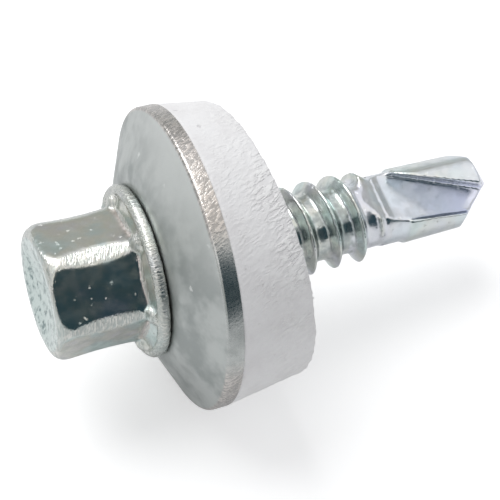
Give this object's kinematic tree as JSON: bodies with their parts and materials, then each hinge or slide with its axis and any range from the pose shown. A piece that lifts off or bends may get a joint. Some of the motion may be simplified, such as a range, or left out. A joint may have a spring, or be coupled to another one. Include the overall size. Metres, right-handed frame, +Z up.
{
  "type": "self drilling screw",
  "caption": "Hex head self drilling roofing screw with a coarse thread, a fluted drill point and a bonded rubber sealing washer, lying on its side.",
  "frame": {"origin": "where the screw's axis crosses the seat under the head", "axes": "+Z up from the surface that the screw lies on, +X level, along the screw towards its point, which tips down by 7.3 degrees"},
  "size_m": [0.0324, 0.02, 0.02],
  "materials": {
    "zinc_plated_steel": "bright zinc plating",
    "galvanised_sheet": "satin galvanised",
    "sealing_rubber": "matt moulded rubber"
  },
  "bodies": {
    "screw": {"screw": "zinc_plated_steel"},
    "washer": {"steel_washer": "galvanised_sheet", "rubber_washer": "sealing_rubber"}
  },
  "joints": [
    {"name": "washer_turn", "type": "hinge", "parent": "screw", "child": "washer", "pos_m": [0, 0, 0], "axis": [0.9919, 0, -0.1272], "continuous": true}
  ]
}
